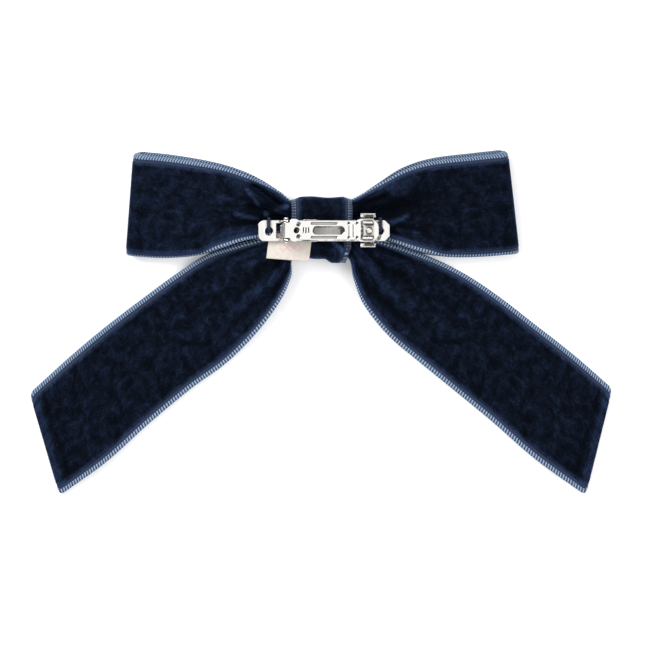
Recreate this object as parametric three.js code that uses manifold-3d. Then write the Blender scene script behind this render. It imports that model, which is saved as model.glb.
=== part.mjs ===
// Velvet ribbon hair bow on a French clip, lying face down with the clip up. Millimetres, +Z up.
// The origin is on the flat front face of the knot, below the knot's centre; +X runs along the clip
// from its hinge to its catch, and +Y points to the upper selvages of the loops.
import * as THREE from "three";
import { mergeVertices } from "three/addons/utils/BufferGeometryUtils.js";
import Module from "manifold-3d";

// ---- driving dimensions ----------------------------------------------------------------------
const PLY = 1.0; // velvet ribbon with its pile
const SELVAGE_OFFSET = 1.5; // front layer of a loop stands this far above the back layer
const SPLIT = 0.4; // half the gap between left and right pieces inside the knot

const KNOT_HALF_WIDTH = 11.8;
const KNOT_TOP = 12.8;
const KNOT_BOTTOM = -12.5;
const KNOT_BACK = 9.6;
const KNOT_CORNER = 3.5; // centre-line radius of the band's four turns
const LAP_RISE = 1.3; // the band's outer end lies this far above its inner end
const LAP_INNER_END = -4;
const LAP_OUTER_END = 2.5;

const FRONT_LAYER_Z = 2.7; // heights of the four gathered layers inside the knot
const BACK_LAYER_Z = 4.1;
const TAIL_FRONT_Z = 5.5;
const TAIL_BACK_Z = 6.9;
const ON_TABLE_Z = 0.65; // centre of a ply that lies on the table
const PLY_PITCH = 1.35; // from one tail ply to the next where they lie flat
const LOOP_CROWN_Z = 9.3; // back layer where the loop stands tallest
const LOOP_END_Z = 7.6; // back layer where the end fold begins

const CLIP_CENTRE = 1; // x of the clip's middle
const CLIP_Y = -1.1; // the clip sits this far below the middle of the knot
const CLIP_BOW = 0.003; // rise of the clip per millimetre squared from its middle
const PLATE_Z = 12.0; // underside of the base plate at its middle
const PLATE_T = 0.8;
const PLATE_START = -24.2;
const PLATE_END = 26.2;
const PLATE_HALF = 4.05;
const ARM_Z = 19.4; // underside of the arm at its middle
const ARM_T = 0.7;
const ARM_BOW = 0.0012;
const ARM_HALF = 3.7;
const ARM_FLARE_HALF = 4.45;
const ARM_TIP = 21.9;
const PIN_X = -13.6;
const PIN_R = 0.55;
const PIN_HOLE_R = 0.62;
const CURL_R = 1.3;
const CURL_HALF = 3.0;
const EAR_INNER = 3.3;
const BAR_T = 0.4;
const BAR_CROWN_Z = 15.0;
const BAR_CROWN_X = -1.5;
const BAR_BOW = 0.0083;
const CATCH_X = 18.5; // centre of the catch on the base plate
const NECK_HALF = 1.8; // half lengths along the clip of a jaw's neck and of its finger wing
const WING_HALF = 2.9;
const THREAD_R = 0.5;

const wasm = await Module();
wasm.setup();

// ---- materials -------------------------------------------------------------------------------
const finish = (color, roughness, metalness) =>
  new THREE.MeshStandardMaterial({ color, roughness, metalness });
const velvet = finish(0x12192a, 0.95, 0);
const satin = finish(0xede4d3, 0.6, 0);
const sewingThread = finish(0x161d33, 0.8, 0);
const plating = finish(0xd6d4cf, 0.15, 1);

// ---- geometry helpers ------------------------------------------------------------------------
const smooth = THREE.MathUtils.smoothstep;
const lerp = THREE.MathUtils.lerp;

// Closed solid from a grid of points on a sheet's middle surface, thickened along its normals.
function sheetSolid(point, rows, columns, thickness) {
  const step = 1e-3;
  const vertices = [];
  for (const face of [0.5, -0.5]) {
    for (let i = 0; i <= rows; i++) {
      for (let j = 0; j <= columns; j++) {
        const u = i / rows;
        const v = j / columns;
        const along = point(Math.min(u + step, 1), v).sub(point(Math.max(u - step, 0), v));
        const across = point(u, Math.min(v + step, 1)).sub(point(u, Math.max(v - step, 0)));
        const normal = along.cross(across).normalize();
        vertices.push(...point(u, v).addScaledVector(normal, face * thickness).toArray());
      }
    }
  }
  const layer = (rows + 1) * (columns + 1);
  const at = (i, j, side) => side * layer + i * (columns + 1) + j;
  const faces = [];
  const quad = (a, b, c, d) => faces.push(a, b, c, a, c, d);
  for (let i = 0; i < rows; i++) {
    for (let j = 0; j < columns; j++) {
      quad(at(i, j, 0), at(i + 1, j, 0), at(i + 1, j + 1, 0), at(i, j + 1, 0));
      quad(at(i, j, 1), at(i, j + 1, 1), at(i + 1, j + 1, 1), at(i + 1, j, 1));
    }
    quad(at(i, 0, 0), at(i, 0, 1), at(i + 1, 0, 1), at(i + 1, 0, 0));
    quad(at(i, columns, 0), at(i + 1, columns, 0), at(i + 1, columns, 1), at(i, columns, 1));
  }
  for (let j = 0; j < columns; j++) {
    quad(at(0, j, 0), at(0, j + 1, 0), at(0, j + 1, 1), at(0, j, 1));
    quad(at(rows, j, 0), at(rows, j, 1), at(rows, j + 1, 1), at(rows, j + 1, 0));
  }
  const geometry = new THREE.BufferGeometry();
  geometry.setAttribute("position", new THREE.Float32BufferAttribute(vertices, 3));
  geometry.setIndex(faces);
  return geometry;
}

function toSolid(geometry) {
  const bare = geometry.clone();
  bare.deleteAttribute("normal");
  bare.deleteAttribute("uv");
  const merged = mergeVertices(bare, 1e-4);
  return new wasm.Manifold(
    new wasm.Mesh({
      numProp: 3,
      vertProperties: merged.attributes.position.array,
      triVerts: new Uint32Array(merged.index.array),
    }),
  );
}

function toGeometry(solid) {
  const made = solid.getMesh();
  const geometry = new THREE.BufferGeometry();
  geometry.setAttribute("position", new THREE.BufferAttribute(made.vertProperties, 3));
  geometry.setIndex(new THREE.BufferAttribute(made.triVerts, 1));
  return geometry;
}

const outline = (points) => new THREE.Shape(points.map(([x, y]) => new THREE.Vector2(x, y)));

// Straight wall over a plan outline, from one height to another.
function upright(shape, low, high, curveSegments = 12) {
  const geometry = new THREE.ExtrudeGeometry(shape, {
    depth: high - low,
    bevelEnabled: false,
    curveSegments,
  });
  return geometry.translate(0, 0, low);
}

// A side-view outline in x and z, extruded across the clip from y low to y high.
function acrossY(shape, low, high, curveSegments = 16) {
  const geometry = new THREE.ExtrudeGeometry(shape, {
    depth: high - low,
    bevelEnabled: false,
    curveSegments,
  });
  return geometry.rotateX(Math.PI / 2).translate(0, high, 0);
}

// An end-view outline in y and z, extruded along x from low to high.
function alongX(shape, low, high, curveSegments = 12) {
  const geometry = new THREE.ExtrudeGeometry(shape, {
    depth: high - low,
    bevelEnabled: false,
    curveSegments,
  });
  const turn = new THREE.Matrix4().makeBasis(
    new THREE.Vector3(0, 1, 0),
    new THREE.Vector3(0, 0, 1),
    new THREE.Vector3(1, 0, 0),
  );
  return geometry.applyMatrix4(turn).translate(low, 0, 0);
}

// Side view of a bowed strip whose underside follows a height function.
function bowedStrip(start, end, underside, thickness, steps = 24) {
  const bottom = [];
  const top = [];
  for (let i = 0; i <= steps; i++) {
    const x = lerp(start, end, i / steps);
    bottom.push([x, underside(x)]);
    top.unshift([x, underside(x) + thickness]);
  }
  return outline([...bottom, ...top]);
}

function disc(x, y, radius) {
  const shape = new THREE.Shape();
  shape.absarc(x, y, radius, 0, 2 * Math.PI);
  return shape;
}

const cylinderY = (x, z, radius, low, high) => acrossY(disc(x, z, radius), low, high);
const cylinderZ = (x, y, radius, low, high) => upright(disc(x, y, radius), low, high);

const rectangle = (x0, y0, x1, y1) =>
  outline([
    [x0, y0],
    [x1, y0],
    [x1, y1],
    [x0, y1],
  ]);

// A round-ended slot along x.
function slot(x0, x1, y, radius) {
  const shape = new THREE.Shape();
  shape.absarc(x1 - radius, y, radius, -Math.PI / 2, Math.PI / 2);
  shape.absarc(x0 + radius, y, radius, Math.PI / 2, (3 * Math.PI) / 2);
  return shape;
}

const cut = (body, ...tools) =>
  tools.reduce((left, tool) => left.subtract(toSolid(tool)), body);
const join = (first, ...others) =>
  others.reduce((sum, other) => sum.add(toSolid(other)), toSolid(first));

const bow = new THREE.Group();
const clip = new THREE.Group();
clip.position.y = CLIP_Y;
bow.add(clip);

function add(name, geometry, material, parent = bow) {
  const mesh = new THREE.Mesh(geometry, material);
  mesh.name = name;
  parent.add(mesh);
  return mesh;
}

// ---- ribbon outlines -------------------------------------------------------------------------
// Selvages as [distance from the middle, y], from the knot outwards.
const LOOPS = {
  left: {
    sign: -1,
    end: [72.6, 75.6], // the end fold at its upper and its lower corner
    upper: [
      [0, 9.2], [12, 10.9], [16.1, 14.3], [25.4, 20.2], [34.7, 24], [44, 26.4], [62.6, 29.3], [76, 30.2],
    ],
    lower: [
      [0, -5], [12, -0.9], [24.4, -2.9], [31.3, -3.5], [37.5, -5.7], [46, -8.8], [60, -10.2], [76, -9.2],
    ],
  },
  right: {
    sign: 1,
    end: [72, 76.5],
    upper: [
      [0, 9.2], [12, 11.3], [21.1, 17.1], [30.4, 23.2], [39.7, 26.7], [58.3, 29.4], [76.5, 31.2],
    ],
    lower: [
      [0, -5], [12, -1.4], [25, -4.3], [29.6, -5.7], [38.8, -8.8], [46.7, -10.3], [60, -10.4], [76.5, -9],
    ],
  },
};

// Tail selvages, matched point for point from the knot to the slanted end.
const TAILS = {
  left: {
    sign: -1,
    upper: [
      [0.4, 2], [11.5, -1.8], [23, -4.1], [35, -6.7], [46, -10.4],
      [57, -18], [70, -27.5], [84, -38.2], [98, -50], [113.2, -63.8],
    ],
    lower: [
      [0.4, -9.8], [12.3, -11.2], [13, -19], [16.1, -28.3], [25.4, -40.7],
      [37, -52], [51, -62], [67.2, -75.2], [84, -90.2], [101.8, -102.9],
    ],
  },
  right: {
    sign: 1,
    upper: [
      [0.4, 2], [11.5, -2.2], [23, -5.3], [35, -8.9], [46.7, -13.1],
      [58, -18.9], [70.5, -27.5], [84, -38], [98, -49], [112.8, -61.9],
    ],
    lower: [
      [0.4, -9.8], [12.3, -11.2], [13, -19.6], [16.5, -29.6], [25.8, -41.3],
      [37, -50.6], [51, -61.9], [66.5, -74.4], [83.5, -89], [102.8, -102.8],
    ],
  },
};

// Height of a smooth curve through points sorted by their first coordinate.
function heightCurve(points) {
  const curve = new THREE.SplineCurve(points.map(([x, y]) => new THREE.Vector2(x, y)));
  const fine = curve.getPoints(200);
  return (x) => {
    const next = fine.findIndex((p) => p.x >= x);
    if (next <= 0) return next === 0 ? fine[0].y : fine[fine.length - 1].y;
    const a = fine[next - 1];
    const b = fine[next];
    return lerp(a.y, b.y, (x - a.x) / (b.x - a.x));
  };
}

// ---- loops: one length of ribbon each, out along the front, round the end fold, back ----------
function loopGeometry({ sign, end, upper, lower }) {
  const upperY = heightCurve(upper);
  const lowerY = heightCurve(lower);
  const radius = (LOOP_END_Z - ON_TABLE_Z) / 2;
  const legShare = 0.43; // share of the path on each layer, the rest is the fold
  const frontZ = (a) => lerp(FRONT_LAYER_Z, ON_TABLE_Z, smooth(a, 11, 30));
  const backZ = (a, y) => {
    const inKnot = BACK_LAYER_Z + 2.6 * smooth(y, 2.5, 6.5);
    const puffed = lerp(inKnot, LOOP_CROWN_Z, smooth(a, 13, 36));
    return lerp(puffed, LOOP_END_Z, smooth(a, 40, 66));
  };
  return sheetSolid(
    (u, v) => {
      const foldX = lerp(end[1], end[0], v) - radius;
      let a = foldX;
      let z = null;
      let raised = 0;
      if (u < legShare) {
        a = lerp(SPLIT, foldX, u / legShare);
        raised = 1;
      } else if (u > 1 - legShare) {
        a = lerp(SPLIT, foldX, (1 - u) / legShare);
      } else {
        const turn = ((u - legShare) / (1 - 2 * legShare)) * Math.PI;
        a = foldX + radius * Math.sin(turn);
        z = ON_TABLE_Z + radius * (1 - Math.cos(turn));
        raised = 0.5 + 0.5 * Math.cos(turn);
      }
      const drop = (1 - raised) * SELVAGE_OFFSET * smooth(a, 12, 30);
      const y = lerp(lowerY(a), upperY(a), v) - drop * v;
      if (z === null) z = raised ? frontZ(a) : backZ(a, y);
      return new THREE.Vector3(sign * a, y, z);
    },
    44,
    8,
    PLY,
  );
}

// ---- tails: two plies each, lying over the loops at the knot and on the table at their ends ----
function tailGeometry({ sign, upper, lower }, knotZ, tableZ) {
  const spline = (points) =>
    new THREE.CatmullRomCurve3(points.map(([a, y]) => new THREE.Vector3(sign * a, y, 0)));
  const upperEdge = spline(upper);
  const lowerEdge = spline(lower);
  return sheetSolid(
    (u, v) => {
      const point = lowerEdge.getPoint(u).lerp(upperEdge.getPoint(u), v);
      point.z = lerp(knotZ, tableZ, smooth(u, 0.12, 0.5));
      return point;
    },
    27,
    6,
    PLY,
  );
}

for (const side of ["left", "right"]) {
  add(`${side}_loop`, loopGeometry(LOOPS[side]), velvet);
  add(`${side}_tail_front_ply`, tailGeometry(TAILS[side], TAIL_FRONT_Z, ON_TABLE_Z), velvet);
  add(`${side}_tail_back_ply`, tailGeometry(TAILS[side], TAIL_BACK_Z, ON_TABLE_Z + PLY_PITCH), velvet);
}

// ---- knot: a short ribbon wrapped round the bundle, its ends lapped under the clip --------------
// End-view path of the ribbon's middle in y and z, from the inner end round to the outer end.
function knotPath(offset) {
  const top = KNOT_TOP - PLY / 2;
  const bottom = KNOT_BOTTOM + PLY / 2;
  const back = KNOT_BACK - PLY / 2;
  const front = PLY / 2;
  const lap = back + LAP_RISE;
  const r = KNOT_CORNER;
  const turns = [
    [top - r, back - r, 90, 0],
    [top - r, front + r, 0, -90],
    [bottom + r, front + r, -90, -180],
    [bottom + r, lap - r, 180, 90],
  ];
  const points = [[LAP_INNER_END, back + offset]];
  for (const [y, z, from, to] of turns) {
    for (let i = 0; i <= 5; i++) {
      const angle = THREE.MathUtils.degToRad(lerp(from, to, i / 5));
      points.push([y + (r + offset) * Math.cos(angle), z + (r + offset) * Math.sin(angle)]);
    }
  }
  points.push([LAP_OUTER_END, lap + offset]);
  return points;
}
const bandSection = outline([...knotPath(PLY / 2), ...knotPath(-PLY / 2).reverse()]);
add("knot_band", alongX(bandSection, -KNOT_HALF_WIDTH, KNOT_HALF_WIDTH), velvet);

// Gathering thread wound round all the layers in the middle of the knot.
const roundedBox = (low, high, bottom, top, frontR, backR) => {
  const shape = new THREE.Shape();
  shape.absarc(high - backR, top - backR, backR, 0, Math.PI / 2);
  shape.absarc(low + backR, top - backR, backR, Math.PI / 2, Math.PI);
  shape.absarc(low + frontR, bottom + frontR, frontR, Math.PI, 1.5 * Math.PI);
  shape.absarc(high - frontR, bottom + frontR, frontR, 1.5 * Math.PI, 2 * Math.PI);
  return shape;
};
const WINDING = { low: -11, high: 11, bottom: 1.35, top: 8.25, half: 1.2 };
const WINDING_T = 0.4;
const winding = roundedBox(WINDING.low, WINDING.high, WINDING.bottom, WINDING.top, 2.8, 1.2);
winding.holes.push(
  roundedBox(
    WINDING.low + WINDING_T,
    WINDING.high - WINDING_T,
    WINDING.bottom + WINDING_T,
    WINDING.top - WINDING_T,
    2.4,
    0.8,
  ),
);
add("gather_thread", alongX(winding, -WINDING.half, WINDING.half, 5), sewingThread);

// A run of thread along a path.
function threadAlong(points, radius) {
  const extrudePath = new THREE.CatmullRomCurve3(points.map((p) => new THREE.Vector3(...p)));
  return new THREE.ExtrudeGeometry(disc(0, 0, radius), {
    steps: 16,
    bevelEnabled: false,
    extrudePath,
    curveSegments: 5,
  });
}

// Whip stitches that hold the band's outer end down on its inner end.
const lapTop = KNOT_BACK + LAP_RISE;
const STITCH_X = [-2.4, 1.6, 5.6, 9.6];
const WHIP_R = 0.25;
STITCH_X.forEach((x, i) => {
  const rise = lapTop + WHIP_R + 0.11; // lies on the lap
  const down = LAP_OUTER_END + WHIP_R + 0.17; // goes down beside its end
  const path = [
    [x - 0.6, LAP_OUTER_END - 1.8, rise],
    [x - 0.3, LAP_OUTER_END - 0.6, rise],
    [x, down, rise - 0.1],
    [x + 0.1, down + 0.05, lapTop - 0.55],
    [x + 0.15, down + 0.1, KNOT_BACK + 0.15],
  ];
  add(`knot_stitch_${i + 1}`, threadAlong(path, WHIP_R), sewingThread);
});

// ---- label: a satin tab folded at its lower edge, caught under the clip -------------------------
const LABEL = {
  left: -20.1, right: -3.5, top: -2.1, bottom: -12.8, z: 11.3, gap: 0.3, t: 0.22,
  rise: 1.3, // its lower left corner is this much higher than its lower right one
  shear: 0.12, // it hangs a little to the left
};
add(
  "label",
  sheetSolid(
    (u, v) => {
      const bend = (LABEL.gap + LABEL.t) / 2;
      const x = lerp(LABEL.left, LABEL.right, v);
      const foldY = lerp(LABEL.bottom + LABEL.rise, LABEL.bottom, v) + bend;
      let y;
      let z;
      if (u < 0.4) {
        y = lerp(LABEL.top, foldY, u / 0.4);
        z = LABEL.z;
      } else if (u > 0.6) {
        y = lerp(LABEL.top, foldY, (1 - u) / 0.4);
        z = LABEL.z + 2 * bend;
      } else {
        const turn = ((u - 0.4) / 0.2) * Math.PI;
        y = foldY - bend * Math.sin(turn);
        z = LABEL.z + bend * (1 - Math.cos(turn));
      }
      return new THREE.Vector3(x + LABEL.shear * (y - LABEL.top), y, z);
    },
    20,
    4,
    LABEL.t,
  ),
  satin,
);

// ---- clip: base plate, arm, tension bar and catch ----------------------------------------------
const plateUnder = (x) => PLATE_Z + CLIP_BOW * (x - CLIP_CENTRE) ** 2;
const armUnder = (x) => ARM_Z + ARM_BOW * (x - CLIP_CENTRE) ** 2;
const barUnder = (x) => BAR_CROWN_Z - BAR_T / 2 - BAR_BOW * (x - BAR_CROWN_X) ** 2;
const LOW = PLATE_Z - 3;
const HIGH = ARM_Z + 4;
const pinZ = armUnder(PIN_X) + ARM_T - CURL_R;

const plateOutline = new THREE.Shape();
plateOutline.absarc(PLATE_START + 2.2, PLATE_HALF - 2.2, 2.2, Math.PI / 2, Math.PI);
plateOutline.absarc(PLATE_START + 2.2, 2.2 - PLATE_HALF, 2.2, Math.PI, 1.5 * Math.PI);
plateOutline.lineTo(PLATE_END - 1.8, -PLATE_HALF);
plateOutline.lineTo(PLATE_END, 1.8 - PLATE_HALF);
plateOutline.lineTo(PLATE_END, PLATE_HALF - 1.8);
plateOutline.lineTo(PLATE_END - 1.8, PLATE_HALF);

const LEFT_HOLE = { x: -20.2, y: -0.2, r: 1.6 };
const RIGHT_HOLE = { x: 22.7, y: -0.1, r: 1.4 };
const LEFT_WINDOW = [-17.4, -11.2];
const RIGHT_WINDOW = [10.2, 14.4];
const WINDOW_HALF = 2.9;

const plateBlank = toSolid(
  acrossY(bowedStrip(PLATE_START, PLATE_END, plateUnder, PLATE_T), -PLATE_HALF, PLATE_HALF),
).intersect(toSolid(upright(plateOutline, LOW, HIGH, 6)));

// Two upright ears hold the hinge pin, each a lug that narrows to a round eye.
const earFoot = plateUnder(PIN_X) + PLATE_T / 2;
const earOutline = new THREE.Shape();
earOutline.moveTo(PIN_X - 2.6, earFoot);
earOutline.lineTo(PIN_X + 2.0, earFoot);
earOutline.lineTo(PIN_X + CURL_R, pinZ);
earOutline.absarc(PIN_X, pinZ, CURL_R, 0, Math.PI);
const ears = [-1, 1].map((side) => {
  const walls = [side * EAR_INNER, side * PLATE_HALF].sort((a, b) => a - b);
  return acrossY(earOutline, walls[0], walls[1]);
});

let plate = cut(
  plateBlank,
  cylinderZ(LEFT_HOLE.x, LEFT_HOLE.y, LEFT_HOLE.r, LOW, HIGH),
  cylinderZ(RIGHT_HOLE.x, RIGHT_HOLE.y, RIGHT_HOLE.r, LOW, HIGH),
  upright(rectangle(LEFT_WINDOW[0], -WINDOW_HALF, LEFT_WINDOW[1], WINDOW_HALF), LOW, HIGH),
  upright(rectangle(RIGHT_WINDOW[0], -WINDOW_HALF, RIGHT_WINDOW[1], WINDOW_HALF), LOW, HIGH),
  cylinderZ(CATCH_X, 0, 0.75, LOW, HIGH),
);
for (const ear of ears) {
  plate = plate.add(toSolid(ear));
}
plate = cut(plate, cylinderY(PIN_X, pinZ, PIN_HOLE_R, -6, 6));
add("base_plate", toGeometry(plate), plating, clip);

// Hinge pin with a formed head at each end.
const pinProfile = [
  [0, -4.85], [0.95, -4.85], [0.95, -4.35], [PIN_R, -4.35],
  [PIN_R, 4.35], [0.95, 4.35], [0.95, 4.85], [0, 4.85],
].map(([r, y]) => new THREE.Vector2(r, y));
add("hinge_pin", new THREE.LatheGeometry(pinProfile, 20).translate(PIN_X, 0, pinZ), plating, clip);

// Arm: a bowed strip that flares at the hinge and the tip, curled round the pin.
const armPlan = new THREE.Shape();
armPlan.moveTo(PIN_X, -CURL_HALF);
armPlan.lineTo(-12.1, -CURL_HALF);
armPlan.quadraticCurveTo(-11.9, -ARM_FLARE_HALF, -10.6, -ARM_FLARE_HALF);
armPlan.quadraticCurveTo(-9.0, -ARM_FLARE_HALF, -8.7, -ARM_HALF);
armPlan.lineTo(13.6, -ARM_HALF);
armPlan.quadraticCurveTo(14.6, -ARM_FLARE_HALF, 15.6, -ARM_FLARE_HALF);
armPlan.lineTo(19.2, -ARM_FLARE_HALF);
armPlan.quadraticCurveTo(ARM_TIP - 0.3, -ARM_FLARE_HALF + 0.8, ARM_TIP, -1.4);
armPlan.lineTo(ARM_TIP, 1.4);
armPlan.quadraticCurveTo(ARM_TIP - 0.3, ARM_FLARE_HALF - 0.8, 19.2, ARM_FLARE_HALF);
armPlan.lineTo(15.6, ARM_FLARE_HALF);
armPlan.quadraticCurveTo(14.6, ARM_FLARE_HALF, 13.6, ARM_HALF);
armPlan.lineTo(-8.7, ARM_HALF);
armPlan.quadraticCurveTo(-9.0, ARM_FLARE_HALF, -10.6, ARM_FLARE_HALF);
armPlan.quadraticCurveTo(-11.9, ARM_FLARE_HALF, -12.1, CURL_HALF);
armPlan.lineTo(PIN_X, CURL_HALF);

const ARM_WINDOW = { x0: 15, x1: 20.1, half: 3.6 };
const PRESSED_DEPTH = 0.35;
const pressed = (shape) => upright(shape, ARM_Z + ARM_T - PRESSED_DEPTH, HIGH, 6);
let arm = toSolid(
  acrossY(bowedStrip(PIN_X, ARM_TIP, armUnder, ARM_T), -ARM_FLARE_HALF, ARM_FLARE_HALF),
).intersect(toSolid(upright(armPlan, LOW, HIGH, 6)));
arm = cut(
  arm,
  cylinderZ(-8.8, 2.4, 0.85, LOW, HIGH),
  cylinderZ(-9.5, 0, 1.15, LOW, HIGH),
  cylinderZ(-8.8, -2.4, 0.85, LOW, HIGH),
  upright(slot(-3.4, 8.9, 0, 1.6), LOW, HIGH, 8),
  upright(rectangle(ARM_WINDOW.x0, -ARM_WINDOW.half, ARM_WINDOW.x1, ARM_WINDOW.half), LOW, HIGH),
  pressed(slot(-4.2, 6.2, 2.65, 0.4)),
  pressed(slot(-4.2, 6.2, -2.65, 0.4)),
  ...[-7.2, -6.2, -5.2].map((x) => pressed(rectangle(x, -1.1, x + 0.45, 1.1))),
);
for (const x of [10.4, 13.6]) {
  for (const side of [-1, 1]) {
    arm = cut(arm, pressed(disc(x, side * 2.75, 0.5)));
  }
}
arm = arm.add(toSolid(cylinderY(PIN_X, pinZ, CURL_R, -CURL_HALF, CURL_HALF)));
arm = cut(arm, cylinderY(PIN_X, pinZ, PIN_HOLE_R, -6, 6));
for (const x of [10.9, 12.5]) {
  const rib = cylinderY(x, armUnder(x) + ARM_T - 0.12, 0.42, -2.4, 2.4);
  arm = arm.add(toSolid(rib));
}
add("top_arm", toGeometry(arm), plating, clip);

// Tension bar: a thin bowed spring whose ends sit in the two windows of the plate.
const BAR_START = -15.9;
const BAR_END = 13.4;
const barPlan = outline([
  [BAR_START, -2], [BAR_START + 1.2, -2.6], [-7.6, -2.6], [-6.8, -4.3], [-1.8, -4.3], [-1, -2.6],
  [BAR_END - 1.2, -2.6], [BAR_END, -2], [BAR_END, 2], [BAR_END - 1.2, 2.6], [-1, 2.6], [-1.8, 4.3],
  [-6.8, 4.3], [-7.6, 2.6], [BAR_START + 1.2, 2.6], [BAR_START, 2],
]);
const bar = toSolid(
  acrossY(bowedStrip(BAR_START, BAR_END, barUnder, BAR_T), -5, 5),
).intersect(toSolid(upright(barPlan, LOW, HIGH)));
add("tension_bar", toGeometry(bar), plating, clip);

// Catch: a riveted foot and two sprung jaws, square to the plate where it rises to its end.
const catchGroup = new THREE.Group();
catchGroup.position.set(CATCH_X, 0, plateUnder(CATCH_X) + PLATE_T);
catchGroup.rotation.y = -Math.atan(2 * CLIP_BOW * (CATCH_X - CLIP_CENTRE));
clip.add(catchGroup);

const catchFoot = toSolid(upright(rectangle(-2.5, -2.2, 2.5, 2.2), 0.3, 0.8));
add("clasp_base", toGeometry(cut(catchFoot, cylinderZ(0, 0, 0.75, -1, 2))), plating, catchGroup);

const rivetProfile = [
  [0, -1.55], [1.1, -1.55], [1.25, -1.1], [0.62, -1.1],
  [0.62, 1.1], [1.3, 1.1], [1.0, 1.6], [0, 1.7],
].map(([r, z]) => new THREE.Vector2(r, z));
add("clasp_rivet", new THREE.LatheGeometry(rivetProfile, 20).rotateX(Math.PI / 2), plating, catchGroup);

const armLocal = armUnder(CATCH_X) - plateUnder(CATCH_X) - PLATE_T; // arm's underside above the plate
const hookZ = armLocal + ARM_T + 0.3;
const wing = [
  [5.6, 1.4], [5.6, armLocal - 1.1], [6.5, armLocal - 0.1], [6.1, armLocal + 0.3], [5.0, armLocal - 0.9],
];
const jaw = [
  [2.6, 0.9], [3.2, 0.9], [3.2, 1.4], ...wing, [5.0, 1.9], [3.2, 1.9],
  [3.2, hookZ], [4.0, hookZ], [3.3, hookZ + 0.55], [2.6, hookZ + 0.55],
];
for (const [name, side] of [["upper", 1], ["lower", -1]]) {
  const section = (points) => outline(points.map(([y, z]) => [side * y, z]));
  const whole = join(
    alongX(section(jaw), -NECK_HALF, NECK_HALF),
    alongX(section([[5.0, 1.4], ...wing]), -WING_HALF, WING_HALF),
  );
  add(`clasp_jaw_${name}`, toGeometry(whole), plating, catchGroup);
}

// Sewing through the end holes, over the plate's upper edge and down into the gathers.
const STITCH_DEPTH = 5.5; // from the top of the plate down into the gathers
const STITCH_SHOULDER = 1.4; // the thread has turned down by here
function holeStitch({ x, y }) {
  const top = plateUnder(x) + PLATE_T + THREAD_R + 0.1;
  const outside = PLATE_HALF + THREAD_R + 0.4; // clear of the plate's upper edge
  const path = [
    [x, y, top - STITCH_DEPTH],
    [x, y + 0.1, top - STITCH_SHOULDER],
    [x, y + 0.7, top - 0.1],
    [x, (y + outside) / 2, top + 0.05],
    [x, outside - 0.7, top - 0.1],
    [x, outside - 0.15, top - STITCH_SHOULDER],
    [x, outside, top - STITCH_DEPTH],
  ];
  return threadAlong(path, THREAD_R);
}
add("left_hole_stitch", holeStitch(LEFT_HOLE), sewingThread, clip);
add("right_hole_stitch", holeStitch(RIGHT_HOLE), sewingThread, clip);

export default bow;
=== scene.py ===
"""A velvet ribbon hair bow on a French clip, lying face down on a pale table.

Each ribbon is a woven sheet worked out on a grid: rows run along the ribbon and columns across it.
Lengths in the tables below are millimetres, and every piece is made in metres in the frame's own axes.
"""

import math

import bmesh
import bpy
import numpy as np
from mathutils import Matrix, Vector


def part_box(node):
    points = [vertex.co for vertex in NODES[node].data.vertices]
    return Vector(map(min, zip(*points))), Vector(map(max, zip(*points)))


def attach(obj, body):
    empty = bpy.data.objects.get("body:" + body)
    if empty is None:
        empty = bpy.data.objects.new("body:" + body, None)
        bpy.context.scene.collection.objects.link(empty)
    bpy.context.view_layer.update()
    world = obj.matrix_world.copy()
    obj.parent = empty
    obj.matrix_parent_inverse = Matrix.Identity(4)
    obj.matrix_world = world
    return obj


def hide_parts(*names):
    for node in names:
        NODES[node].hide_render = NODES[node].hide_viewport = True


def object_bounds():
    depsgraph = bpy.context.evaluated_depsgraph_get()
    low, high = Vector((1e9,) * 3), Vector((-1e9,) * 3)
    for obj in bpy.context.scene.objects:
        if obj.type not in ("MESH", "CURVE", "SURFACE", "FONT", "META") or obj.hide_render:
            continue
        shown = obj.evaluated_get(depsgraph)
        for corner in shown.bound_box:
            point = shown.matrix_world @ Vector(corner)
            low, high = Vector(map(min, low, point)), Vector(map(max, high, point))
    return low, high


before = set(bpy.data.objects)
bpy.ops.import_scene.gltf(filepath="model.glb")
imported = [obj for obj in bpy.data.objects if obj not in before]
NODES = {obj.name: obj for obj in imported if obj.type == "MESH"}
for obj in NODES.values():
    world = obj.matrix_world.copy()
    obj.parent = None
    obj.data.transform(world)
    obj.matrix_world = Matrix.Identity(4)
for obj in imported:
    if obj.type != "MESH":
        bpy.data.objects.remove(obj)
cad_bounds = [list(corner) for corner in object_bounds()]

MM = 0.001

# ---- the ribbon, as it comes off the reel ------------------------------------------------------
RIBBON_WIDTH = 38.0
SELVAGE = 1.6  # ribbed woven edge
BARE_STRIP = 1.2  # ground weave between the edge and the pile
PILE = 0.42  # height of the pile over the middle surface
GROUND = 0.22  # half thickness of the ground weave
RIB_PITCH = 1.1  # the weave has a rib every 0.85 mm; drawn this far apart so that they show
RIB_DEPTH = 0.18
CORD_RISE = 0.16  # the selvage is a cord, thicker than the ground weave by this much each side
ROWS_PER_RIB = 4
PILE_CELL = 1.1  # width of the grid's cells on the pile
PILE_EDGE_CELL = 0.35  # the narrow cell where the pile begins
EDGE_HIGHLIGHT = 0.25  # strength of the painted highlight along the pile beside the bare strip
EDGE_CREST = 0.3  # where the painted highlight is strongest, past the strip, and how wide that is
EDGE_SPREAD = 0.35

# ---- heights taken from the frame ---------------------------------------------------------------
KNOT_LOW, KNOT_HIGH = (np.array(corner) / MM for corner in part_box("knot_band"))


# ---- small tools ---------------------------------------------------------------------------------
def smooth(x, low, high):
    """0 up to low, 1 from high on, and a cubic ease between them. Low may be the greater one."""
    t = np.clip((x - low) / (high - low), 0, 1)
    return t * t * (3 - 2 * t)


def mix(a, b, t):
    """a where t is 0, b where it is 1, and the straight line between them."""
    return a + (b - a) * t


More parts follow.
